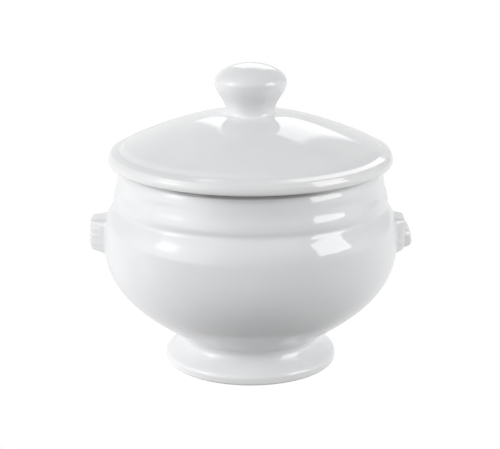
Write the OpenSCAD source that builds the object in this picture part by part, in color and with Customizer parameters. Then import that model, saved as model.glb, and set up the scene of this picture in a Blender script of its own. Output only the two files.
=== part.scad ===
// Footed porcelain sugar bowl with a domed lid.
// Round-bellied bowl on a pedestal foot, two small grip lugs, and a lid with
// a mushroom knob. Each clay piece is its own node, joined face to face.
// Units are millimetres. Z points up, X runs across the two lugs, and the
// origin is the centre of the resting circle under the foot.

/* [Bowl] */
// Largest outside radius of the belly
belly_r = 54.4; // [53.6:0.1:55.2]
// Height of the widest part of the belly
belly_z = 46.8; // [45:0.1:48]
// Outside radius at the bottom of the groove under the collar
groove_r = 50.4; // [50:0.1:50.8]
// Height of the groove
groove_z = 61.6; // [61.2:0.1:62]
// Radius of the circle along the top of the lip, where the lid rests
lip_r = 46; // [45.6:0.1:46.4]
// Height of the lip
rim_z = 75.2; // [74.6:0.1:76]
// Wall thickness of the belly
belly_wall = 3.8; // [3.2:0.1:4.4]
// Height of the inside floor at the middle
floor_z = 14.5; // [14:0.1:15.6]

/* [Foot] */
// Largest outside radius of the foot
foot_r = 32; // [31.6:0.1:33]
// Radius of the crease where the foot meets the belly
waist_r = 26.4; // [25.8:0.1:26.8]
// Height of the joint between foot and bowl
waist_z = 10.7; // [10.2:0.1:11]
// Width of the flat resting ring
resting_w = 4.2; // [3:0.1:5]

/* [Lugs] */
// Distance from the axis to the outermost ridge of a lug
lug_reach = 59.8; // [59.6:0.1:60.6]
// Distance from the axis to the top edge of the left lug
left_brow = 59.2; // [57:0.1:59.2]
// Distance from the axis to the top edge of the right lug
right_brow = 57; // [56.8:0.1:59.2]
// Height of the underside of a lug
lug_low_z = 41; // [40:0.1:42]
// Height of the top edge of a lug
lug_top_z = 54.8; // [54:0.1:55.6]
// Full width of a lug across its plate
lug_w = 14.8; // [13.6:0.1:16]

/* [Lid] */
// Largest radius of the lid
lid_r = 52; // [51.7:0.1:52.8]
// Thickness of the lid at its edge
lid_edge = 4.4; // [4.1:0.1:4.7]
// Height of the joint between lid and knob
crown_z = 93.8; // [93.4:0.1:94.6]
// Thickness of the dome under the knob
dome_wall = 4.4; // [3.8:0.1:5]
// Gap between the locating flange and the mouth of the bowl
flange_gap = 1; // [0.6:0.1:1.4]
// Depth of the locating flange below the lip
flange_depth = 4.6; // [3.8:0.1:6]

/* [Knob] */
// Radius of the knob at its base
knob_base_r = 10; // [9.6:0.1:10.4]
// Radius of the knob's neck
knob_neck_r = 9; // [8.6:0.1:9.1]
// Largest radius of the knob's head
knob_head_r = 13.1; // [12.6:0.1:13.8]
// Overall height of the set with the lid on
total_h = 112.3; // [111.8:0.1:113.2]

/* [Hidden] */
$fn = 96;
// chords in each long curve, and in each rounded edge
curve_steps = 16;
edge_steps = 6;

// A "pull" below is the vector from the end of a curve to its handle, as
// [outward, upward] in the half-section.

// bowl, outside: turning points of the profile from the foot up to the lip
waist = [waist_r, waist_z];
belly = [belly_r, belly_z];
slope = [groove_r + 0.95, groove_z - 2.4];
groove = [groove_r, groove_z];
collar = [groove_r + 0.05, groove_z + 1.4];
collar_mid = [groove_r - 0.7, groove_z + 4.6];
collar_top = [groove_r - 1.55, groove_z + 8.6];
lip = [lip_r, rim_z];
// bowl, outside: pulls of the curves between those points
waist_pull = [13.6, 9.5];
belly_low_pull = [0, -18.5];
belly_high_pull = [0, 7.1];
slope_low_pull = [1.9, -3.1];
slope_high_pull = [-0.52, 0.85];
groove_low_pull = [0, -0.95];
groove_high_pull = [0, 0.5];
collar_low_pull = [0.06, -0.6];
collar_high_pull = [-0.08, 0.8];
collar_mid_low_pull = [0.42, -1.2];
collar_mid_high_pull = [-0.46, 1.3];
collar_top_low_pull = [0.18, -1.3];
collar_top_high_pull = [-0.26, 1.9];
lip_out_pull = [2, 0];

// bowl, inside: turning points from the mouth down to the floor
neck_wall = 3.8;
mouth_in = [lip_r - 0.9, rim_z - 1.3];
neck_in = [groove_r - neck_wall, groove_z];
belly_in = [belly_r - belly_wall, belly_z];
floor_edge = [10, floor_z];
// bowl, inside: pulls of the curves between those points
lip_in_pull = [-0.5, 0];
mouth_high_pull = [0, 0.75];
mouth_in_pull = [0, -4.5];
neck_in_pull = [0, 5];
belly_in_high_pull = [0, 7];
belly_in_low_pull = [0, -18.5];
floor_pull = [19, 0];

// foot: turning points from the rounded lower edge up to the crease
foot_edge = 1.1;
band = [foot_r, 2.2];
shoulder = [foot_r - 1.9, 4.8];
band_pull = [0, 1.2];
shoulder_low_pull = [1.2, -0.9];
shoulder_high_pull = [-2, 1.5];
crease_pull = [0, -2.6];
// foot: hollow underneath
hollow_edge = 0.8;
resting_r = foot_r - foot_edge;
hollow_r = resting_r - resting_w - hollow_edge;
hollow_top = [21, waist_z];
hollow_top_pull = [0.6, -4.5];
hollow_low_pull = [-0.3, 2.4];

// lugs: root inside the belly wall, wide plate and narrower raised face
lug_root = 50;
plate_reach = 57;
plate_taper = 0.6;
face_reach = lug_reach - 0.5;
face_w = 9;
face_taper = 0.6;
// lugs: shape of the chin and of the shield seen from outside
chin_w = 9.6;
chin_inset = 2.2;
chin_rise = 2.4;
cheek_rise = 6;
face_rise = 6.6;
brow_rise = 1.2;
brow_inset = 0.8;
lug_ease = 1.2;
// lugs: ridges across the face
ridge_r = 1.3;
ridge_len = 6.4;
ridge_heights = [46, 48.9];

// lid: turning points of the rounded edge and of the dome
edge_low = [lid_r - 2.5, rim_z + 0.7];
edge_mid = [lid_r, rim_z + 1.9];
edge_lean = [lid_r - 0.48, rim_z + 4];
edge_top = [lid_r - 1.3, rim_z + 0.7 + lid_edge];
cove = [lid_r - 3.8, rim_z + 1.35 + lid_edge];
dome = [lid_r - 6.16, rim_z + 7.68];
crown = [knob_base_r, crown_z];
edge_low_pull = [1.4, 0];
edge_mid_low_pull = [0, -0.75];
edge_mid_high_pull = [0, 0.8];
edge_lean_low_pull = [0.33, -0.52];
edge_lean_high_pull = [-0.24, 0.38];
edge_top_out_pull = [0.45, -0.12];
edge_top_in_pull = [-0.85, 0.22];
cove_out_pull = [0.8, -0.2];
cove_in_pull = [-0.9, 0.23];
dome_low_pull = [0.95, -0.44];
dome_high_pull = [-8.43, 3.94];
crown_pull = [9.84, -0.16];
// lid: seat on the lip, and the locating flange inside the mouth
seat_r = lip_r + 0.9;
seat_pull = [0.6, 0];
seat_edge_pull = [-0.6, 0];
flange_w = 3.2;
flange_r = mouth_in.x - flange_gap;
flange_in_r = flange_r - flange_w;
flange_low_z = rim_z - flange_depth;
// lid: hollow underside
vault = [6, crown_z - dome_wall];
spring = [flange_in_r - 0.9, rim_z + 4.6];
vault_pull = [18, 0];
spring_in_pull = [-7.4, 4.3];
spring_out_pull = [0.7, -0.4];
flange_in_pull = [0, 3];

// knob: heights of the neck and of the widest part of the head
knob_foot = [knob_base_r, crown_z];
knob_neck = [knob_neck_r, crown_z + 2.2];
knob_head = [knob_head_r, total_h - 6.7];
knob_top = [0, total_h];
knob_foot_pull = [-0.6, 0.5];
neck_low_pull = [0, -1.2];
neck_high_pull = [0, 3.7];
head_low_pull = [0, -4.3];
head_high_pull = [0, 3.2];
top_pull = [knob_head_r - 5.7, 0];

// Points of a cubic curve from a to d, leaving out d. The handles are given
// as pulls: pull_a from a, pull_d from d.
function curve(a, pull_a, pull_d, d, steps = curve_steps) = [
    for (i = [0 : steps - 1])
        let (t = i / steps, u = 1 - t)
            u * u * (u + 3 * t) * a + 3 * u * u * t * pull_a
                + 3 * u * t * t * pull_d + t * t * (t + 3 * u) * d
];

// Points of a circular arc, leaving out the last.
function arc(centre, radius, from, to, steps = edge_steps) = [
    for (i = [0 : steps - 1])
        let (a = from + (to - from) * i / steps)
            centre + radius * [cos(a), sin(a)]
];

// Corner q between p and s, eased into a short curve that starts and ends
// the distance ease away from q.
function eased(p, q, s, ease, steps = edge_steps) =
    let (
        from = q + ease * (p - q) / norm(p - q),
        to = q + ease * (s - q) / norm(s - q)
    )
    [for (i = [0 : steps])
        let (t = i / steps, u = 1 - t)
            u * u * from + 2 * u * t * q + t * t * to];

// Closed outline with every corner eased.
function eased_loop(points, ease) =
    let (count = len(points))
    [for (i = [0 : count - 1])
        each eased(points[(i + count - 1) % count], points[i], points[(i + 1) % count], ease)];

// Outside half-section of the bowl, from the crease at the foot up to the lip.
function bowl_outside() = concat(
    curve(waist, waist_pull, belly_low_pull, belly),
    curve(belly, belly_high_pull, slope_low_pull, slope),
    curve(slope, slope_high_pull, groove_low_pull, groove, edge_steps),
    curve(groove, groove_high_pull, collar_low_pull, collar, edge_steps),
    curve(collar, collar_high_pull, collar_mid_low_pull, collar_mid, edge_steps),
    curve(collar_mid, collar_mid_high_pull, collar_top_low_pull, collar_top, edge_steps),
    curve(collar_top, collar_top_high_pull, lip_out_pull, lip, edge_steps)
);

// Inside half-section of the bowl, from the lip down to the middle of the floor.
function bowl_inside() = concat(
    curve(lip, lip_in_pull, mouth_high_pull, mouth_in, edge_steps),
    curve(mouth_in, mouth_in_pull, neck_in_pull, neck_in, edge_steps),
    curve(neck_in, -neck_in_pull, belly_in_high_pull, belly_in),
    curve(belly_in, belly_in_low_pull, floor_pull, floor_edge),
    [floor_edge, [0, floor_z]]
);

// The bowl without its hollow, up to the lip.
module bowl_blank() {
    rotate_extrude()
        polygon(concat([[0, waist_z]], bowl_outside(), [lip, [0, rim_z]]));
}

// Belly, groove, collar and rounded lip in one thrown wall.
module bowl_body() {
    color("white")
        rotate_extrude()
            polygon(concat(
                [[0, waist_z]],
                bowl_outside(),
                bowl_inside()
            ));
}

// Ring foot: flat resting ring, upright band, sloping shoulder and a cove up
// to the crease; hollow underneath.
module pedestal_foot() {
    color("whitesmoke")
        rotate_extrude()
            polygon(concat(
                arc([hollow_r + hollow_edge, hollow_edge], hollow_edge, 180, 270),
                [[hollow_r + hollow_edge, 0]],
                arc([resting_r, foot_edge], foot_edge, -90, 0),
                [[foot_r, foot_edge]],
                curve(band, band_pull, shoulder_low_pull, shoulder, edge_steps),
                curve(shoulder, shoulder_high_pull, crease_pull, waist),
                [waist],
                curve(hollow_top, hollow_top_pull, hollow_low_pull, [hollow_r, hollow_edge])
            ));
}

// Side outline of a lug: height against distance from the axis.
module lug_side(brow) {
    polygon(eased_loop([
        [lug_root, lug_low_z],
        [plate_reach - chin_inset, lug_low_z],
        [face_reach, lug_low_z + chin_rise],
        [face_reach, lug_low_z + face_rise],
        [brow, lug_top_z],
        [lug_root, lug_top_z + brow_rise]
    ], lug_ease));
}

// Plan of a lug: a wide plate at the root with a narrower raised face.
module lug_plan() {
    half = [
        [lug_root, lug_w / 2],
        [plate_reach, lug_w / 2 - plate_taper],
        [plate_reach + plate_taper, face_w / 2],
        [lug_reach, face_w / 2 - face_taper]
    ];
    polygon(eased_loop(concat(
        [for (p = half) [p.x, -p.y]],
        [for (i = [len(half) - 1 : -1 : 0]) half[i]]
    ), lug_ease / 3));
}

// Outline of a lug seen from outside: a shield that narrows towards the chin.
module lug_shield() {
    polygon(eased_loop([
        [-chin_w / 2, lug_low_z],
        [chin_w / 2, lug_low_z],
        [lug_w / 2, lug_low_z + cheek_rise],
        [lug_w / 2 - brow_inset, lug_top_z + brow_rise],
        [brow_inset - lug_w / 2, lug_top_z + brow_rise],
        [-lug_w / 2, lug_low_z + cheek_rise]
    ], 2 * lug_ease));
}

// One rounded ridge across the face of a lug.
module lug_ridge(height) {
    translate([lug_reach - ridge_r, 0, height]) {
        rotate([90, 0, 0])
            cylinder(h = ridge_len, r = ridge_r, center = true);
        for (side = [-1, 1])
            translate([0, side * ridge_len / 2, 0])
                sphere(r = ridge_r);
    }
}

// Lug on the +X side, its back cut to the curve of the belly.
module lug(brow) {
    difference() {
        union() {
            intersection() {
                rotate([90, 0, 0])
                    linear_extrude(height = 2 * lug_w, center = true)
                        lug_side(brow);
                linear_extrude(height = lug_top_z + lug_w)
                    lug_plan();
                rotate([90, 0, 90])
                    linear_extrude(height = lug_reach + lug_w)
                        lug_shield();
            }
            for (height = ridge_heights)
                lug_ridge(height);
        }
        bowl_blank();
    }
}

module left_lug() {
    color("gainsboro")
        mirror([1, 0, 0])
            lug(left_brow);
}

module right_lug() {
    color("gainsboro")
        lug(right_brow);
}

// Domed lid: thick rounded edge, flat seat on the lip, and a locating flange
// that drops inside the mouth.
module lid_cover() {
    color("ivory")
        rotate_extrude()
            polygon(concat(
                [[0, crown_z], [0, vault.y]],
                curve(vault, vault_pull, spring_in_pull, spring),
                curve(spring, spring_out_pull, flange_in_pull,
                    [flange_in_r, flange_low_z + flange_w / 2], edge_steps),
                arc([flange_r - flange_w / 2, flange_low_z + flange_w / 2],
                    flange_w / 2, 180, 360, 2 * edge_steps),
                [[flange_r, flange_low_z + flange_w / 2], [flange_r, rim_z]],
                curve([seat_r, rim_z], seat_pull, seat_edge_pull, edge_low, edge_steps),
                curve(edge_low, edge_low_pull, edge_mid_low_pull, edge_mid, edge_steps),
                curve(edge_mid, edge_mid_high_pull, edge_lean_low_pull, edge_lean, edge_steps),
                curve(edge_lean, edge_lean_high_pull, edge_top_out_pull, edge_top, edge_steps),
                curve(edge_top, edge_top_in_pull, cove_out_pull, cove, edge_steps),
                curve(cove, cove_in_pull, dome_low_pull, dome, edge_steps),
                curve(dome, dome_high_pull, crown_pull, crown),
                [crown]
            ));
}

// Mushroom knob: narrow neck flaring into a flattened round head.
module lid_knob() {
    color("snow")
        rotate_extrude()
            polygon(concat(
                [[0, crown_z]],
                curve(knob_foot, knob_foot_pull, neck_low_pull, knob_neck, edge_steps),
                curve(knob_neck, neck_high_pull, head_low_pull, knob_head),
                curve(knob_head, head_high_pull, top_pull, knob_top),
                [knob_top]
            ));
}

bowl_body();
pedestal_foot();
left_lug();
right_lug();
lid_cover();
lid_knob();
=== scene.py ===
"""Looks of the footed porcelain sugar bowl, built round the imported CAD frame.

Every piece is a fine mesh that stands for one CAD node: bowl, foot, lid and knob are
turned from smooth half-sections, and the two grip lugs are lofted from shield outlines.
Lengths are in metres. Z points up, X runs across the lugs, the camera looks along +Y.
"""

import math

import bmesh
import bpy
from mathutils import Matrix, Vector


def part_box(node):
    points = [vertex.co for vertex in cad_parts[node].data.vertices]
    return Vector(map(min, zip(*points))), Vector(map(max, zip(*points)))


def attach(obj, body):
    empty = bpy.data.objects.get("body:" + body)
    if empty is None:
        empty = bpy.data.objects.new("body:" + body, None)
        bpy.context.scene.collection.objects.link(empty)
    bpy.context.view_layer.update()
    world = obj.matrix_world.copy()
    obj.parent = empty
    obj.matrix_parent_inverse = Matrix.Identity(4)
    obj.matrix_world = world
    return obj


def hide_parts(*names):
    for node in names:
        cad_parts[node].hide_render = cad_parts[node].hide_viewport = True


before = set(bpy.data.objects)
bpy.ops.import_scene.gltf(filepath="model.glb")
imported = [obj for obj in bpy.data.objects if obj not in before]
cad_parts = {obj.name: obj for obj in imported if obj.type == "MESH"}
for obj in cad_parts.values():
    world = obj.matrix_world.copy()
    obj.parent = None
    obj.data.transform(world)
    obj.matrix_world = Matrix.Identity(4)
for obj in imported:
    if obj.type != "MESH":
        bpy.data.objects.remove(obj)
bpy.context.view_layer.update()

MM = 0.001

# ---------------------------------------------------------------- driving sizes
bowl_low, bowl_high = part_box("bowl_body")
foot_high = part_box("pedestal_foot")[1]
lid_low, lid_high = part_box("lid_cover")
knob_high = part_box("lid_knob")[1]
lug_low, lug_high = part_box("right_lug")

BELLY_R = bowl_high.x
RIM_Z = bowl_high.z
WAIST_Z = bowl_low.z
FOOT_R = foot_high.x
LID_R = lid_high.x
CROWN_Z = lid_high.z
FLANGE_LOW_Z = lid_low.z
KNOB_R = knob_high.x
TOP_Z = knob_high.z


def mm(out, up):
    """A point or a direction in a half-section: outward and upward, in millimetres."""
    return Vector((out * MM, up * MM))


def towards(azimuth, elevation):
    """Unit vector, angles in degrees: azimuth 0 is the camera's side, positive
    to the right."""
    a = math.radians(azimuth)
    e = math.radians(elevation)
    return Vector((math.sin(a) * math.cos(e), -math.cos(a) * math.cos(e), math.sin(e)))


# ------------------------------------------------------------------- outlines
LONG_STEPS = 28
SHORT_STEPS = 10
FLAT_STEPS = 6
FEW_STEPS = 4
SEGMENTS = 200


def curve(a, pull_a, pull_d, d, steps=LONG_STEPS):
    """Points of a cubic curve from a to d, leaving out d. A pull leads from an end
    of the curve to its handle."""
    points = []
    for i in range(steps):
        t = i / steps
        u = 1 - t
        ends = a * (u * u * (u + 3 * t)) + d * (t * t * (t + 3 * u))
        points.append(ends + pull_a * (3 * u * u * t) + pull_d * (3 * u * t * t))
    return points


def arc(centre, radius, start, end, steps=SHORT_STEPS):
    """Points of a circular arc, angles in degrees, leaving out the last."""
    points = []
    for i in range(steps):
        a = math.radians(start + (end - start) * i / steps)
        points.append(centre + Vector((math.cos(a), math.sin(a))) * radius)
    return points


# bowl: turning points of the outside, then of the inside
WAIST = Vector((FOOT_R, WAIST_Z)) + mm(-5.6, 0)
BELLY = Vector((BELLY_R, WAIST_Z)) + mm(0, 36.1)
SHOULDER = Vector((BELLY_R, RIM_Z)) + mm(-3.05, -16)
GROOVE = Vector((BELLY_R, RIM_Z)) + mm(-4, -13.6)
COLLAR = GROOVE + mm(0.05, 1.4)
COLLAR_MID = COLLAR + mm(-0.75, 3.2)
COLLAR_TOP = COLLAR + mm(-1.6, 7.2)
LIP = Vector((BELLY_R, RIM_Z)) + mm(-8.4, 0)
MOUTH_IN = LIP - mm(0.9, 1.3)
WALL = 3.8
NECK_IN = GROOVE - mm(WALL, 0)
BELLY_IN = BELLY - mm(WALL, 0)
FLOOR_EDGE = Vector((0, WAIST_Z)) + mm(10, WALL)


def bowl_outside():
    """Half-section from the crease at the foot up to the top of the lip."""
    return (
        curve(WAIST, mm(13.6, 9.5), mm(0, -18.5), BELLY, 2 * LONG_STEPS)
        + curve(BELLY, mm(0, 7.1), mm(1.9, -3.1), SHOULDER)
        + curve(SHOULDER, mm(-0.52, 0.85), mm(0, -0.95), GROOVE, SHORT_STEPS)
        + curve(GROOVE, mm(0, 0.5), mm(0.06, -0.6), COLLAR, SHORT_STEPS)
        + curve(COLLAR, mm(-0.08, 0.8), mm(0.42, -1.2), COLLAR_MID, SHORT_STEPS)
        + curve(COLLAR_MID, mm(-0.46, 1.3), mm(0.18, -1.3), COLLAR_TOP, SHORT_STEPS)
        + curve(COLLAR_TOP, mm(-0.26, 1.9), mm(2, 0), LIP)
    )


def bowl_inside():
    """Half-section from the top of the lip down to the middle of the floor."""
    return (
        curve(LIP, mm(-0.5, 0), mm(0, 0.75), MOUTH_IN, SHORT_STEPS)
        + curve(MOUTH_IN, mm(0, -4.5), mm(0, 5), NECK_IN, SHORT_STEPS)
        + curve(NECK_IN, mm(0, -5), mm(0, 7), BELLY_IN)
        + curve(BELLY_IN, mm(0, -18.5), mm(19, 0), FLOOR_EDGE, 2 * LONG_STEPS)
        + curve(FLOOR_EDGE, mm(-3, 0), mm(3, 0), Vector((0, FLOOR_EDGE.y)), SHORT_STEPS)
    )


def bowl_section():
    base_centre = Vector((0, WAIST_Z))
    base = curve(base_centre, mm(7, 0), mm(-7, 0), WAIST, SHORT_STEPS)
    return base + bowl_outside() + bowl_inside() + [Vector((0, FLOOR_EDGE.y))]


# foot: turning points from the hollow, over the resting ring, up to the crease
HOLLOW_EDGE = 0.8 * MM
FOOT_EDGE = 1.1 * MM
RESTING_W = 4.2 * MM
RING_OUT = FOOT_R - FOOT_EDGE
RING_IN = RING_OUT - RESTING_W
HOLLOW_TOP = Vector((FOOT_R, WAIST_Z)) + mm(-11, 0)
BAND = Vector((FOOT_R, 0)) + mm(0, 2.2)
STEP = Vector((FOOT_R, 0)) + mm(-1.9, 4.8)
CREASE_EASE = 0.9
BURIED = mm(-1.6, 0.9)


def foot_section():
    """Half-section of the ring foot. Its top runs out over the belly as the fillet
    of glaze that fills the crease, and closes inside the bowl's wall."""
    hollow_foot = Vector((RING_IN - HOLLOW_EDGE, HOLLOW_EDGE))
    crease_low = WAIST - mm(0, CREASE_EASE)
    crease_high = WAIST + mm(0.82, 0.575) * CREASE_EASE
    return (
        arc(Vector((RING_IN, HOLLOW_EDGE)), HOLLOW_EDGE, 180, 270)
        + curve(Vector((RING_IN, 0)), mm(1, 0), mm(-1, 0), Vector((RING_OUT, 0)), FLAT_STEPS)
        + arc(Vector((RING_OUT, FOOT_EDGE)), FOOT_EDGE, -90, 0)
        + curve(Vector((FOOT_R, FOOT_EDGE)), mm(0, 0.4), mm(0, -0.4), BAND, FEW_STEPS)
        + curve(BAND, mm(0, 1.2), mm(1.2, -0.9), STEP, SHORT_STEPS)
        + curve(STEP, mm(-2, 1.5), mm(0, -1.7), crease_low)
        + curve(crease_low, mm(0, 0.55), mm(-0.45, -0.31), crease_high, SHORT_STEPS)
        + [crease_high, crease_high + BURIED]
        + [HOLLOW_TOP + mm(0, 0.4)]
        + curve(HOLLOW_TOP, mm(0.6, -4.5), mm(-0.3, 2.4), hollow_foot)
    )


# lid: turning points of the dome, the rounded edge, the seat and the flange
CROWN = Vector((KNOB_R, CROWN_Z)) + mm(-3.1, 0)
EDGE_LOW = Vector((LID_R, RIM_Z)) + mm(-2.5, 0.7)
EDGE_MID = Vector((LID_R, RIM_Z)) + mm(0, 1.9)
EDGE_LEAN = Vector((LID_R, RIM_Z)) + mm(-0.48, 4)
EDGE_TOP = Vector((LID_R, RIM_Z)) + mm(-1.3, 5.1)
COVE = Vector((LID_R, RIM_Z)) + mm(-3.8, 5.75)
DOME = Vector((LID_R, RIM_Z)) + mm(-6.16, 7.68)
SEAT = LIP + mm(0.9, 0)
FLANGE_R = MOUTH_IN.x - 1 * MM
FLANGE_TIP = 1.6 * MM
VAULT = Vector((0, CROWN_Z)) + mm(6, -4.4)
SPRING = Vector((FLANGE_R, RIM_Z)) + mm(-4.1, 4.6)
ROOT_EASE = 0.5


def lid_section():
    """Half-section of the lid, from the middle of its underside round to the crown."""
    flange_y = FLANGE_LOW_Z + FLANGE_TIP
    flange_in = Vector((FLANGE_R - 2 * FLANGE_TIP, flange_y))
    tip_centre = Vector((FLANGE_R - FLANGE_TIP, flange_y))
    root_low = Vector((FLANGE_R, RIM_Z)) - mm(0, ROOT_EASE)
    root_high = Vector((FLANGE_R, RIM_Z)) + mm(ROOT_EASE, 0)
    return (
        curve(Vector((0, VAULT.y)), mm(2, 0), mm(-2, 0), VAULT, SHORT_STEPS)
        + curve(VAULT, mm(18, 0), mm(-7.4, 4.3), SPRING, 2 * LONG_STEPS)
        + curve(SPRING, mm(0.7, -0.4), mm(0, 3), flange_in, SHORT_STEPS)
        + arc(tip_centre, FLANGE_TIP, 180, 360, 2 * SHORT_STEPS)
        + curve(Vector((FLANGE_R, flange_y)), mm(0, 1), mm(0, -1), root_low, FLAT_STEPS)
        + curve(root_low, mm(0, 0.3), mm(-0.3, 0), root_high, FLAT_STEPS)
        + curve(root_high, mm(1, 0), mm(-1, 0), SEAT, FLAT_STEPS)
        + curve(SEAT, mm(0.6, 0), mm(-0.6, 0), EDGE_LOW, SHORT_STEPS)
        + curve(EDGE_LOW, mm(1.4, 0), mm(0, -0.75), EDGE_MID, SHORT_STEPS)
        + curve(EDGE_MID, mm(0, 0.8), mm(0.33, -0.52), EDGE_LEAN, SHORT_STEPS)
        + curve(EDGE_LEAN, mm(-0.24, 0.38), mm(0.45, -0.12), EDGE_TOP, SHORT_STEPS)
        + curve(EDGE_TOP, mm(-0.85, 0.22), mm(0.8, -0.2), COVE, SHORT_STEPS)
        + curve(COVE, mm(-0.9, 0.23), mm(0.95, -0.44), DOME, SHORT_STEPS)
        + curve(DOME, mm(-8.43, 3.94), mm(9.84, -0.16), CROWN, 3 * LONG_STEPS)
        + curve(CROWN, mm(-3, 0.05), mm(3, 0), Vector((0, CROWN_Z)), SHORT_STEPS)
        + [Vector((0, CROWN_Z))]
    )


# knob: turning points of the skirt of glaze, the neck and the head
KNOB_SKIRT = CROWN + mm(0.05, -0.05)
KNOB_FOOT = CROWN + mm(-0.5, 0.2)
KNOB_NECK = CROWN + mm(-1, 1.6)
KNOB_HEAD = Vector((KNOB_R, TOP_Z)) + mm(0, -6.7)
KNOB_TOP = Vector((0, TOP_Z))


def knob_section():
    """Half-section of the mushroom knob, closed just inside the lid."""
    buried = CROWN - mm(2, 1)
    return (
        curve(Vector((0, buried.y)), mm(2, 0), mm(-2, 0), buried, FEW_STEPS)
        + [buried]
        + curve(KNOB_SKIRT, mm(-0.3, 0.02), mm(0.15, -0.15), KNOB_FOOT, SHORT_STEPS)
        + curve(KNOB_FOOT, mm(-0.25, 0.2), mm(0, -0.7), KNOB_NECK, SHORT_STEPS)
        + curve(KNOB_NECK, mm(0, 3.7), mm(0, -4.3), KNOB_HEAD)
        + curve(KNOB_HEAD, mm(0, 3.2), mm(7.4, 0), KNOB_TOP)
        + [KNOB_TOP]
    )


# ------------------------------------------------------------ turning the pieces
TINY = 1e-7
GLAZE_REACH = 0.9 * MM
GLAZE_CUTOFF = 3
FULL_CURVATURE = 900.0
THROWN_WOBBLE = 0.0005


def wobble(angle, height):
    """Share by which a thrown and fired wall departs from a true circle."""
    slow = math.sin(2 * angle + 0.6)
    mid = 0.5 * math.sin(3 * angle + 60 * height)
    fine = 0.2 * math.sin(7 * angle - 150 * height)
    return 1 + THROWN_WOBBLE * (slow + mid + fine)


def signed_turns(section):
    """Turning angle at each inner point of a half-section, positive in a hollow."""
    turns = [0.0] * len(section)
    for i in range(1, len(section) - 1):
        before = section[i] - section[i - 1]
        after = section[i + 1] - section[i]
        if before.length > TINY and after.length > TINY:
            turns[i] = before.angle_signed(after)
    return turns


def glaze_depth(section):
    """How far the glaze pools (towards 1) or thins (towards -1) at each point: the
    curvature of the half-section, averaged over the distance that glaze flows."""
    turns = signed_turns(section)
    along = [0.0]
    for a, b in zip(section, section[1:]):
        along.append(along[-1] + (b - a).length)
    depths = []
    for here in along:
        total = 0.0
        for there, turn in zip(along, turns):
            away = (there - here) / GLAZE_REACH
            if abs(away) < GLAZE_CUTOFF:
                total += turn * math.exp(-away * away)
        curvature = total / (GLAZE_REACH * math.sqrt(math.pi))
        depths.append(math.tanh(curvature / FULL_CURVATURE))
    return depths


def bridge(bm, lower, upper):
    """Faces between two rings of vertices, or between a ring and a single vertex."""
    count = max(len(lower), len(upper))
    for k in range(count):
        nxt = (k + 1) % count
        if len(lower) == 1:
            bm.faces.new((lower[0], upper[k], upper[nxt]))
        elif len(upper) == 1:
            bm.faces.new((lower[k], lower[nxt], upper[0]))
        else:
            bm.faces.new((lower[k], lower[nxt], upper[nxt], upper[k]))


def lofted(name, loops):
    """A smooth-shaded object skinned over loops, each given as its points and how the
    glaze lies on it. A loop of one point is a tip; where the first loop is not a tip,
    the last one is joined to it."""
    bm = bmesh.new()
    rings = []
    depths = []
    for points, depth in loops:
        rings.append([bm.verts.new(point) for point in points])
        depths += [depth] * len(points)
    if len(rings[0]) > 1:
        rings.append(rings[0])
    for lower, upper in zip(rings, rings[1:]):
        bridge(bm, lower, upper)
    bmesh.ops.recalc_face_normals(bm, faces=bm.faces)
    mesh = bpy.data.meshes.new(name)
    bm.to_mesh(mesh)
    bm.free()
    mesh.shade_smooth()
    depth = mesh.attributes.new("glaze_depth", "FLOAT", "POINT")
    depth.data.foreach_set("value", depths)
    piece = bpy.data.objects.new(name, mesh)
    bpy.context.scene.collection.objects.link(piece)
    return piece


def turned(name, section):
    """A solid of revolution about Z. Points on the axis become tips."""
    loops = []
    for point, depth in zip(section, glaze_depth(section)):
        circle = []
        for k in range(1 if point.x < TINY else SEGMENTS):
            angle = 2 * math.pi * k / SEGMENTS
            r = point.x * wobble(angle, point.y)
            circle.append((r * math.cos(angle), r * math.sin(angle), point.y))
        loops.append((circle, depth))
    return lofted(name, loops)


# ------------------------------------------------------------------- grip lugs
LUG_LOW_Z = lug_low.z
LUG_TOP_Z = lug_high.z
LUG_HALF = lug_high.y
LUG_REACH = lug_high.x
# the face of a lug: its reach, and the heights above the underside between which it leans
FACE_REACH = LUG_REACH - 0.5 * MM
FACE_BEND = 6.6 * MM
FACE_BROW = 13.8 * MM
# the two lugs differ: reach of the plate, reach of the brow, height of the top edge
LEFT_LUG = (LUG_REACH - 0.8 * MM, LUG_REACH - 0.6 * MM, LUG_TOP_Z - 0.5 * MM)
RIGHT_LUG = (LUG_REACH - 3.1 * MM, LUG_REACH - 2.7 * MM, LUG_TOP_Z)
# outlines, in mm: half-widths of chin, cheek and brow, heights of chin and cheek above
# the underside, depth of the brow below the top edge, and ease of the corners
ROOT_SHIELD = (4.7, LUG_HALF / MM - 0.3, 6.7, 0.7, 6, 0.4, 2.2)
PLATE_SHIELD = (3.7, LUG_HALF / MM - 1.9, 5.2, 1.4, 6, 0.2, 1.8)
FACE_FOOT_SHIELD = (2.6, 4.2, 3.9, 2.4, 6, 2.4, 1.2)
FACE_RIM_SHIELD = (2.3, 3.8, 3.5, 2.7, 6, 2.8, 1.1)
CORNER_STEPS = 7
SIDE_STEPS = 7
# the two walls of a lug: fillet at the bottom, rounded edge at the top, steps between
PLATE_WALL = (0.6 * MM, 0.5 * MM, 14)
FACE_WALL = (0.4 * MM, 0.5 * MM, 10)
FLAT_SHARES = (0.33, 0.67)
CAP_STEPS = 16
BACK_STEPS = 4
LUG_SUNK = 0.3 * MM
# ridges: height above the underside, how far each stands proud, half its height, in mm
RIDGES = ((4.9, 0.5, 0.95), (7.7, 0.5, 0.95), (10.1, 0.3, 1.0))
RIDGE_HALF = 3.9 * MM
FLANK_SHARE = 1.8


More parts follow.
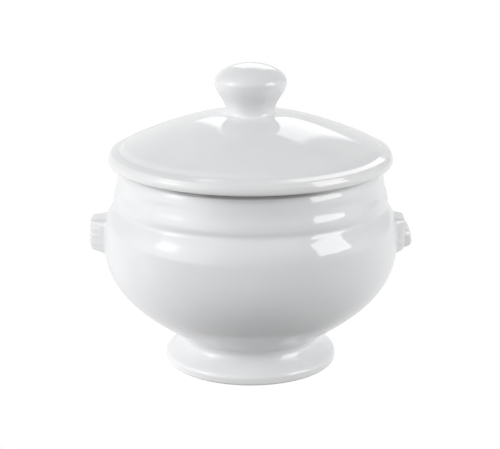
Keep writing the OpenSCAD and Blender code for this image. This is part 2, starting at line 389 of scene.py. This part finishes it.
def shield(sizes, top):
    """Outline of a lug seen from outside, as (across, height), from one of the lists
    of sizes above. Every outline has the same number of points."""
    chin, cheek, brow, chin_up, cheek_up, brow_down, ease = [size * MM for size in sizes]
    chin_z = LUG_LOW_Z + chin_up
    cheek_z = LUG_LOW_Z + cheek_up
    brow_z = top - brow_down
    corners = [
        Vector((-chin, chin_z)),
        Vector((chin, chin_z)),
        Vector((cheek, cheek_z)),
        Vector((brow, brow_z)),
        Vector((-brow, brow_z)),
        Vector((-cheek, cheek_z)),
    ]
    points = []
    for i, q in enumerate(corners):
        p = corners[i - 1]
        s = corners[(i + 1) % len(corners)]
        start = q + (p - q).normalized() * ease
        end = q + (s - q).normalized() * ease
        next_start = s + (q - s).normalized() * ease
        for k in range(CORNER_STEPS):
            t = k / CORNER_STEPS
            u = 1 - t
            points.append(start * (u * u) + q * (2 * u * t) + end * (t * t))
        for k in range(SIDE_STEPS):
            points.append(end.lerp(next_start, k / SIDE_STEPS))
    return points


def grown(outline, distance):
    """The outline moved outward by a distance along its own normals."""
    points = []
    count = len(outline)
    for i, point in enumerate(outline):
        along = outline[(i + 1) % count] - outline[i - 1]
        normal = Vector((along.y, -along.x)).normalized()
        points.append(point + normal * distance)
    return points


def mixed(first, second, share):
    return [a.lerp(b, share) for a, b in zip(first, second)]


def smooth(s):
    return s * s * (3 - 2 * s)


BOWL_WALL = bowl_outside()


def belly_reach(across, height, side):
    """Distance of the belly's surface from the plane x = 0, at a place on a lug."""
    radius = BELLY_R
    for a, b in zip(BOWL_WALL, BOWL_WALL[1:]):
        if a.y <= height <= b.y:
            radius = a.x + (b.x - a.x) * (height - a.y) / (b.y - a.y)
            break
    angle = math.atan2(across, side * radius)
    radius *= wobble(angle, height)
    return math.sqrt(radius * radius - across * across)


def face_reach(height, brow_reach):
    """Reach of a lug's raised face: upright below, then leaning in to the brow."""
    above = height - LUG_LOW_Z - FACE_BEND
    lean = min(1.0, max(0.0, above / (FACE_BROW - FACE_BEND)))
    return FACE_REACH + (brow_reach - FACE_REACH) * lean


def ridge_height(height):
    """How far the rounded ridges stand proud at a height."""
    lift = 0.0
    for centre, proud, half in RIDGES:
        away = (height - LUG_LOW_Z - centre * MM) / (half * MM)
        lift += proud * MM * math.exp(-away * away)
    return lift


def ridge_end(across):
    """The ridges of the face die away towards its two sides."""
    return smooth(max(0.0, 1 - (abs(across) / RIDGE_HALF) ** 3))


def wall(low_line, high_line, fillet, edge, steps):
    """(outline, level, depth) for a wall that leaves one surface in a fillet and
    reaches the next over a rounded edge; depth is how the glaze lies."""
    rows = []
    for i in range(steps + 1):
        s = i / steps
        offset = fillet * (1 - s) ** 2 - edge * s * s
        line = grown(mixed(low_line, high_line, smooth(s)), offset)
        rows.append((line, smooth(s), math.cos(math.pi * s)))
    return rows


def middle_of(outline):
    """The point on a lug's centre line that its outline is drawn in to."""
    return Vector((0, sum(point.y for point in outline) / len(outline)))


def lug_rows(top):
    """Rows of a lug from the belly to the middle of its face, as
    (outline, base, level, depth): base 0 is the step from the belly up to the plate,
    base 1 the step from the plate up to the face, base 2 the face itself."""
    plate_wall = wall(shield(ROOT_SHIELD, top), shield(PLATE_SHIELD, top), *PLATE_WALL)
    face_foot = shield(FACE_FOOT_SHIELD, top)
    face_wall = wall(face_foot, shield(FACE_RIM_SHIELD, top), *FACE_WALL)
    rows = [(line, 0, level, depth) for line, level, depth in plate_wall]
    for share in FLAT_SHARES:
        rows.append((mixed(plate_wall[-1][0], face_wall[0][0], share), 0, 1.0, 0.0))
    rows += [(line, 1, level, depth) for line, level, depth in face_wall]
    cap = face_wall[-1][0]
    middle = middle_of(cap)
    for i in range(1, CAP_STEPS):
        line = [point.lerp(middle, i / CAP_STEPS) for point in cap]
        rows.append((line, 2, 1.0, 0.0))
    return rows


def lug_point(point, base, level, reaches, side):
    """Where a point of a row lies in the frame. The ridges also swell the flanks."""
    plate, brow = reaches
    ridge = ridge_height(point.y)
    if base == 0:
        belly = belly_reach(point.x, point.y, side)
        reach = belly + (plate - belly) * level
        swell = ridge * FLANK_SHARE * level
    else:
        face = max(face_reach(point.y, brow), plate)
        reach = plate + (face - plate) * (level if base == 1 else 1)
        swell = ridge * FLANK_SHARE
        if base == 2:
            reach += ridge * ridge_end(point.x)
    across = point.x * (1 + swell / LUG_HALF)
    return Vector((side * reach, across, point.y))


def lug(name, side, sizes):
    """One grip lug, from its own sizes, closed by a back just inside the belly."""
    plate, brow, top = sizes
    reaches = (plate, brow)
    rows = lug_rows(top)
    skirt = rows[0][0]
    middle = middle_of(skirt)
    inward = Vector((-side * LUG_SUNK, 0, 0))
    loops = [([lug_point(middle, 0, 0, reaches, side) + inward], 0.0)]
    for i in range(1, BACK_STEPS + 1):
        line = [middle.lerp(point, i / BACK_STEPS) for point in skirt]
        loops.append(([lug_point(p, 0, 0, reaches, side) + inward for p in line], 0.0))
    for line, base, level, depth in rows:
        loops.append(([lug_point(p, base, level, reaches, side) for p in line], depth))
    tip = middle_of(rows[-1][0])
    loops.append(([lug_point(tip, 2, 1, reaches, side)], 0.0))
    return lofted(name, loops)


# ------------------------------------------------------------------- materials
GLAZE_WHITE = (0.80, 0.806, 0.815, 1)
GLAZE_SHADE = (0.775, 0.783, 0.795, 1)
GLAZE_POOLED = (0.735, 0.76, 0.775, 1)
GLAZE_THIN = (0.83, 0.82, 0.80, 1)
SPECK = (0.42, 0.38, 0.33, 1)
BISQUE = (0.74, 0.715, 0.67, 1)
BISQUE_WORN = (0.52, 0.50, 0.47, 1)
# dark grey painted shade for the gap under the lid's edge
SEAT_SHADE_GREY = (0.17, 0.165, 0.16, 1)
GLAZE_IOR = 1.52
# spacing of the patterns of the glaze
CLOUD_SIZE = 22 * MM
SPECK_CELL = 10.5 * MM
PINHOLE_CELL = 7.3 * MM
WAVE_SIZE = 16 * MM
PEEL_SIZE = 2.2 * MM
HAZE_SIZE = 12 * MM
# height of its relief
WAVE_HEIGHT = 0.03 * MM
PEEL_HEIGHT = 0.0045 * MM
PINHOLE_DEPTH = 0.01 * MM
HAZE_LEAST = 0.035
HAZE_MOST = 0.075
# unglazed clay, and the line where the glaze was wiped off
GRAIN_SIZE = 0.5 * MM
GRAIN_HEIGHT = 0.05 * MM
PATCH_SIZE = 4 * MM
WIPE_SIZE = 3 * MM
WIPE_RAGGED = 0.5 * MM
WIPE_DROP = 0.3 * MM
WIPE_SOFT = 0.12 * MM
# painted shade in the gap under the lid's edge: its strength round the back and in front, and
# how softly it ends
SEAT_SHADE_BACK = 0.1
SEAT_SHADE_FRONT = 0.5
SEAT_SHADE_AZIMUTH = -3
SEAT_SHADE_SOFT = 0.5 * MM
SEAT_SHADE_MOTTLE_SIZE = 6 * MM
# where the shade under the lid's edge is painted: distances from the axis and heights, from
# and to
LIP_SEAT = (LIP.x - 0.6 * MM, LIP.x + 1.9 * MM, RIM_Z - 0.9 * MM, RIM_Z)
LID_SEAT = (FLANGE_R, EDGE_LOW.x + 0.4 * MM, FLANGE_LOW_Z + 4 * MM, EDGE_LOW.y)
# heights below which foot and lid are bare
FOOT_BARE = 0.5 * MM
LID_BARE = FLANGE_LOW_Z + 0.9 * MM
# sockets of a colour mix: the two colours in, the colour out
MIX_A = 6
MIX_B = 7
MIX_OUT = 2


class Nodes:
    """A short way to add and link the nodes of one material or world."""

    def __init__(self, owner, coords="Object"):
        owner.use_nodes = True
        self.owner = owner
        self.tree = owner.node_tree
        self.tree.nodes.clear()
        self.coords = self.add("ShaderNodeTexCoord").outputs[coords]

    def add(self, kind, inputs=None, **settings):
        node = self.tree.nodes.new(kind)
        for key, value in settings.items():
            setattr(node, key, value)
        for key, value in (inputs or {}).items():
            if isinstance(value, bpy.types.NodeSocket):
                self.tree.links.new(value, node.inputs[key])
            else:
                node.inputs[key].default_value = value
        return node

    def noise(self, feature, detail=2.0, roughness=0.5, vector=None):
        """Noise whose features are about this many metres across, as one value."""
        inputs = {
            "Vector": vector or self.coords,
            "Scale": 1 / feature,
            "Detail": detail,
            "Roughness": roughness,
        }
        return self.add("ShaderNodeTexNoise", inputs).outputs["Fac"]

    def math(self, operation, a, b=0.0):
        node = self.add("ShaderNodeMath", {0: a, 1: b}, operation=operation)
        return node.outputs[0]

    def ramp(self, value, low, high, to_low=0.0, to_high=1.0):
        """A smooth step between two values."""
        inputs = {
            "Value": value,
            "From Min": low,
            "From Max": high,
            "To Min": to_low,
            "To Max": to_high,
        }
        node = self.add("ShaderNodeMapRange", inputs, interpolation_type="SMOOTHSTEP")
        return node.outputs["Result"]

    def mix(self, share, a, b):
        """Colour between a and b."""
        inputs = {0: share, MIX_A: a, MIX_B: b}
        return self.add("ShaderNodeMix", inputs, data_type="RGBA").outputs[MIX_OUT]

    def bump(self, height, distance, normal=None):
        inputs = {"Height": height, "Distance": distance, "Strength": 1.0}
        if normal is not None:
            inputs["Normal"] = normal
        return self.add("ShaderNodeBump", inputs).outputs["Normal"]

    def flattened(self):
        """The position with its height left out."""
        inputs = {0: self.coords, 1: (1, 1, 0)}
        return self.add("ShaderNodeVectorMath", inputs, operation="MULTIPLY").outputs[0]

    def facing(self, flat, azimuth):
        """How squarely a flattened position lies towards an azimuth, from -1 to 1."""
        outward = self.add("ShaderNodeVectorMath", {0: flat}, operation="NORMALIZE")
        inputs = {0: outward.outputs[0], 1: towards(azimuth, 0)}
        dot = self.add("ShaderNodeVectorMath", inputs, operation="DOT_PRODUCT")
        return dot.outputs["Value"]

    def output(self, shader, kind="ShaderNodeOutputMaterial"):
        self.add(kind, {"Surface": shader})


def glaze_colour(n):
    """White glaze: cloudy in broad patches, cooler and denser where it pooled,
    warmer where it ran thin over an edge, with a few fine iron specks."""
    depth = n.add("ShaderNodeAttribute", attribute_name="glaze_depth").outputs["Fac"]
    clouds = n.ramp(n.noise(CLOUD_SIZE, 3.0), 0.35, 0.65)
    colour = n.mix(clouds, GLAZE_WHITE, GLAZE_SHADE)
    pooled = n.math("MULTIPLY", n.ramp(depth, 0.05, 0.9), 0.75)
    colour = n.mix(pooled, colour, GLAZE_POOLED)
    thin = n.math("MULTIPLY", n.ramp(n.math("MULTIPLY", depth, -1.0), 0.1, 0.9), 0.6)
    colour = n.mix(thin, colour, GLAZE_THIN)
    cells = n.add("ShaderNodeTexVoronoi", {"Vector": n.coords, "Scale": 1 / SPECK_CELL})
    rare = n.ramp(cells.outputs["Color"], 0.86, 0.9)
    dots = n.ramp(cells.outputs["Distance"], 0.018, 0.03, 1.0, 0.0)
    specks = n.math("MULTIPLY", n.math("MULTIPLY", dots, rare), 0.5)
    return n.mix(specks, colour, SPECK)


def glaze_shader(n, seat):
    """Glossy glaze over white clay: waves of the fired surface, the fine orange peel
    of the glaze and scattered pinholes all show in the reflections."""
    waves = n.bump(n.noise(WAVE_SIZE, 1.0), WAVE_HEIGHT)
    peel = n.bump(n.noise(PEEL_SIZE, 2.0, 0.4), PEEL_HEIGHT, waves)
    cells = n.add("ShaderNodeTexVoronoi", {"Vector": n.coords, "Scale": 1 / PINHOLE_CELL})
    pinholes = n.ramp(cells.outputs["Distance"], 0.01, 0.035)
    normal = n.bump(pinholes, PINHOLE_DEPTH, peel)
    haze = n.ramp(n.noise(HAZE_SIZE, 3.0, 0.6), 0.3, 0.7, HAZE_LEAST, HAZE_MOST)
    colour = glaze_colour(n)
    if seat is not None:
        # painted shade on the seat, in the gap under the lid's edge
        colour = painted_seat_shade(n, colour, seat)
    inputs = {
        "Base Color": colour,
        "Roughness": haze,
        "IOR": GLAZE_IOR,
        "Normal": normal,
    }
    return n.add("ShaderNodeBsdfPrincipled", inputs).outputs[0]


def bisque_shader(n):
    """Unglazed clay: matt, grainy and greyed where it rubs on a table."""
    grain = n.noise(GRAIN_SIZE, 3.0, 0.7)
    patches = n.noise(PATCH_SIZE, 3.0, 0.6)
    worn = n.ramp(patches, 0.45, 0.7)
    colour = n.mix(n.math("MULTIPLY", worn, 0.5), BISQUE, BISQUE_WORN)
    colour = n.mix(n.ramp(grain, 0.55, 0.75, 0.0, 0.35), colour, BISQUE_WORN)
    inputs = {
        "Base Color": colour,
        "Roughness": n.ramp(patches, 0.3, 0.7, 0.62, 0.85),
        "Normal": n.bump(grain, GRAIN_HEIGHT),
    }
    return n.add("ShaderNodeBsdfPrincipled", inputs).outputs[0]


def painted_seat_shade(n, colour, seat):
    """Painted shade, in dark grey, on the ring where the lid beds on the lip and under the
    lid's edge: between the two distances from the axis and the two heights of the seat,
    heaviest in front, towards the camera, and mottled by noise."""
    place = n.add("ShaderNodeSeparateXYZ", {0: n.coords})
    flat = n.flattened()
    out = n.add("ShaderNodeVectorMath", {0: flat}, operation="LENGTH").outputs["Value"]
    front = n.facing(flat, SEAT_SHADE_AZIMUTH)
    inner, outer, low, high = seat
    share = n.ramp(front, 0.75, 1.0, SEAT_SHADE_BACK, SEAT_SHADE_FRONT)
    for value, start, full in (
        (out, inner - SEAT_SHADE_SOFT, inner),
        (out, outer + SEAT_SHADE_SOFT, outer),
        (place.outputs["Z"], low - SEAT_SHADE_SOFT, low),
        (place.outputs["Z"], high + SEAT_SHADE_SOFT, high),
    ):
        share = n.math("MULTIPLY", n.ramp(value, start, full), share)
    shade_mottle = n.ramp(n.noise(SEAT_SHADE_MOTTLE_SIZE, 3.0, 0.6), 0.3, 0.6, 0.75, 1.0)
    return n.mix(n.math("MULTIPLY", share, shade_mottle), colour, SEAT_SHADE_GREY)


def glaze_material(name, bare_below=None, seat=None):
    """The glaze of one material slot. Below the height bare_below, if it is given,
    the glaze was wiped off before firing, along a slightly uneven line."""
    n = Nodes(bpy.data.materials.new(name))
    shader = glaze_shader(n, seat)
    if bare_below is not None:
        height = n.add("ShaderNodeSeparateXYZ", {0: n.coords}).outputs["Z"]
        ragged = n.math("MULTIPLY", n.noise(WIPE_SIZE, 2.0), WIPE_RAGGED)
        line = n.math("SUBTRACT", height, ragged)
        low = bare_below - WIPE_DROP
        glazed = n.ramp(line, low, low + WIPE_SOFT)
        inputs = {0: glazed, 1: bisque_shader(n), 2: shader}
        shader = n.add("ShaderNodeMixShader", inputs).outputs[0]
    n.output(shader)
    return n.owner


def dress(piece, node, body, material):
    """Stands a piece in for its CAD node, on the right body, in its own glaze."""
    piece.data.materials.append(material)
    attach(piece, body)
    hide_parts(node)


def make_pieces():
    # the bowl's lip and the lid's seat get painted shade for the gap under the lid's edge
    bowl_glaze = glaze_material("bowl_glaze", seat=LIP_SEAT)
    foot_glaze = glaze_material("foot_glaze", bare_below=FOOT_BARE)
    lug_glaze = glaze_material("lug_glaze")
    lid_glaze = glaze_material("lid_glaze", bare_below=LID_BARE, seat=LID_SEAT)
    dress(turned("bowl", bowl_section()), "bowl_body", "bowl", bowl_glaze)
    dress(turned("foot", foot_section()), "pedestal_foot", "bowl", foot_glaze)
    dress(turned("lid", lid_section()), "lid_cover", "lid", lid_glaze)
    dress(turned("knob", knob_section()), "lid_knob", "lid", lid_glaze)
    dress(lug("grip_left", -1, LEFT_LUG), "left_lug", "bowl", lug_glaze)
    dress(lug("grip_right", 1, RIGHT_LUG), "right_lug", "bowl", lug_glaze)


# ---------------------------------------------------------------------- studio
CAMERA_LENS = 110.0
CAMERA_SENSOR = 36
CAMERA_BACK = 0.5454
CAMERA_HEIGHT = 0.2098
CAMERA_PITCH = 16.18
CAMERA_SIDE = -0.00025
STUDIO_RADIUS = 1.3
STUDIO_CENTRE = Vector((0, 0, RIM_Z * 0.75))
BACKDROP_WHITE = 1.0
WORLD_FILL = 0.03
PANEL_GRID = 20
# name: azimuth and elevation of the middle, spread in degrees, radiance in the middle
# (azimuth 0 is the camera's side, positive to the right)
WASHES = {
    "left_wall": (-62, 0, 26, 2.45),
    "left_ceiling": (-62, 31, 20, 1.35),
    "right_wall": (85, 2, 20, 1.55),
    "front_ceiling": (37, 43, 20, 0.42),
    "back_wall": (-176, 11, 31, 1.05),
}
# name: azimuth and elevation of the middle, half-width and half-height in degrees,
# radiance, and the share of the panel over which it fades out at its edges
PANELS = {
    "left_lamp": (-68.5, 22, 15, 14, 5.2, 1.0),
    "right_window": (67.5, 22.5, 15.5, 14.5, 5.0, 0.06),
    "back_panel": (176, 32, 16, 14, 1.7, 0.2),
}
FLOOR_RADIUS = 2.0
FLOOR_SEGMENTS = 96
FLOOR_DROP = 0.05 * MM
# the contact shadow as the camera sees it: from the first distance to the second the
# floor goes from matt grey with some glow to the plain white of the backdrop
FLOOR_NEAR = 0.05
FLOOR_FAR = 0.12
FLOOR_SEEN = 0.45
FLOOR_GLOW = 0.75
# the light the object gets from the floor, and how it fades towards the front
FLOOR_BOUNCE = 0.88
FRONT_AZIMUTH = 10
FRONT_EDGE = 0.1
FRONT_REACH = 0.5
FRONT_DIM_NEAR = 0.55


def make_camera():
    """A short telephoto view, slightly from above, straight on to the front."""
    data = bpy.data.cameras.new("camera")
    data.lens = CAMERA_LENS
    data.sensor_width = CAMERA_SENSOR
    camera = bpy.data.objects.new("camera", data)
    camera.location = (CAMERA_SIDE, -CAMERA_BACK, CAMERA_HEIGHT)
    camera.rotation_euler = (math.radians(90 - CAMERA_PITCH), 0, 0)
    bpy.context.scene.collection.objects.link(camera)
    bpy.context.scene.camera = camera


def stage_object(name, mesh, material):
    """An object that belongs to the studio and not to the sugar bowl."""
    mesh.materials.append(material)
    made = bpy.data.objects.new(name, mesh)
    bpy.context.scene.collection.objects.link(made)
    return made


def panel_material(name, level, fade):
    """Light that adds to whatever lies behind it and fades out towards the edges."""
    n = Nodes(bpy.data.materials.new(name))
    inward = n.add("ShaderNodeAttribute", attribute_name="inward").outputs["Fac"]
    glow = n.add("ShaderNodeEmission", {"Strength": n.ramp(inward, 0.0, fade, 0.0, level)})
    clear = n.add("ShaderNodeBsdfTransparent")
    both = n.add("ShaderNodeAddShader", {0: glow.outputs[0], 1: clear.outputs[0]})
    n.output(both.outputs[0])
    return n.owner


def light_panel(name, azimuth, elevation, half_wide, half_high, level, fade):
    """A curved diffusing panel on the studio's sphere. The attribute inward goes from
    0 at its border to 1 in its middle."""
    points = []
    inward = []
    for j in range(PANEL_GRID + 1):
        v = 2 * j / PANEL_GRID - 1
        for i in range(PANEL_GRID + 1):
            u = 2 * i / PANEL_GRID - 1
            away = towards(azimuth + u * half_wide, elevation + v * half_high)
            points.append(STUDIO_CENTRE + away * STUDIO_RADIUS)
            inward.append((1 - abs(u)) if abs(u) > abs(v) else (1 - abs(v)))
    faces = []
    for j in range(PANEL_GRID):
        for i in range(PANEL_GRID):
            k = j * (PANEL_GRID + 1) + i
            faces.append((k, k + 1, k + PANEL_GRID + 2, k + PANEL_GRID + 1))
    mesh = bpy.data.meshes.new(name)
    mesh.from_pydata(points, [], faces)
    mesh.attributes.new("inward", "FLOAT", "POINT").data.foreach_set("value", inward)
    panel = stage_object(name, mesh, panel_material(name, level, fade))
    panel.visible_camera = False


def floor_bounce(n, flat, distance):
    """Light that the pale table sends back up: even, but fading towards its front,
    which lies away from the room's windows."""
    front = n.ramp(n.facing(flat, FRONT_AZIMUTH), FRONT_EDGE, 1.0)
    dim = n.ramp(distance, 0.0, FRONT_REACH, FRONT_DIM_NEAR, 1.0)
    share = n.math("SUBTRACT", 1.0, n.math("MULTIPLY", front, dim))
    return n.math("MULTIPLY", share, FLOOR_BOUNCE)


def floor_material():
    """Pale floor. The camera sees it take the object's soft contact shadow close by
    and run out to a seamless white; the object sees it as a plain pale table."""
    n = Nodes(bpy.data.materials.new("floor"))
    seen = n.add("ShaderNodeLightPath").outputs["Is Camera Ray"]
    flat = n.flattened()
    distance = n.add("ShaderNodeVectorMath", {0: flat}, operation="LENGTH").outputs["Value"]
    far = n.ramp(distance, FLOOR_NEAR, FLOOR_FAR)
    tone = n.math("MULTIPLY", n.ramp(far, 0.0, 1.0, FLOOR_SEEN, 0.0), seen)
    shade = n.add("ShaderNodeCombineColor", {i: tone for i in range(3)})
    matt = n.add("ShaderNodeBsdfDiffuse", {"Color": shade.outputs[0]})
    inputs = {
        0: seen,
        2: floor_bounce(n, flat, distance),
        3: n.ramp(far, 0.0, 1.0, FLOOR_GLOW, BACKDROP_WHITE),
    }
    level = n.add("ShaderNodeMix", inputs, data_type="FLOAT")
    glow = n.add("ShaderNodeEmission", {"Strength": level.outputs[0]})
    both = n.add("ShaderNodeAddShader", {0: matt.outputs[0], 1: glow.outputs[0]})
    n.output(both.outputs[0])
    n.owner.cycles.emission_sampling = "NONE"
    return n.owner


def make_floor():
    mesh = bpy.data.meshes.new("floor")
    bm = bmesh.new()
    bmesh.ops.create_circle(
        bm, cap_ends=True, radius=FLOOR_RADIUS, segments=FLOOR_SEGMENTS
    )
    bm.to_mesh(mesh)
    bm.free()
    floor = stage_object("floor", mesh, floor_material())
    floor.location.z = -FLOOR_DROP


def wash(n, azimuth, elevation, spread, level):
    """A broad glow on the studio's walls that fades evenly away from its middle."""
    inputs = {0: n.coords, 1: towards(azimuth, elevation)}
    dot = n.add("ShaderNodeVectorMath", inputs, operation="DOT_PRODUCT")
    away = n.math("SUBTRACT", dot.outputs["Value"], 1.0)
    sharpness = 1 / math.radians(spread) ** 2
    return n.math("MULTIPLY", n.math("EXPONENT", n.math("MULTIPLY", away, sharpness)), level)


def make_world():
    """White backdrop for the camera; for everything else the pale walls of a room,
    lit in a few broad washes."""
    n = Nodes(bpy.data.worlds.new("studio"), "Generated")
    bpy.context.scene.world = n.owner
    light = WORLD_FILL
    for azimuth, elevation, spread, level in WASHES.values():
        light = n.math("ADD", wash(n, azimuth, elevation, spread, level), light)
    white = {"Color": (1, 1, 1, 1)}
    walls = n.add("ShaderNodeBackground", {**white, "Strength": light})
    backdrop = n.add("ShaderNodeBackground", {**white, "Strength": BACKDROP_WHITE})
    seen = n.add("ShaderNodeLightPath").outputs["Is Camera Ray"]
    both = n.add("ShaderNodeMixShader", {0: seen, 1: walls.outputs[0], 2: backdrop.outputs[0]})
    n.output(both.outputs[0], "ShaderNodeOutputWorld")


def make_studio():
    make_camera()
    make_world()
    make_floor()
    for name, (azimuth, elevation, wide, high, level, fade) in PANELS.items():
        light_panel(name, azimuth, elevation, wide, high, level, fade)
    bpy.context.scene.view_settings.view_transform = "Standard"


make_pieces()
make_studio()
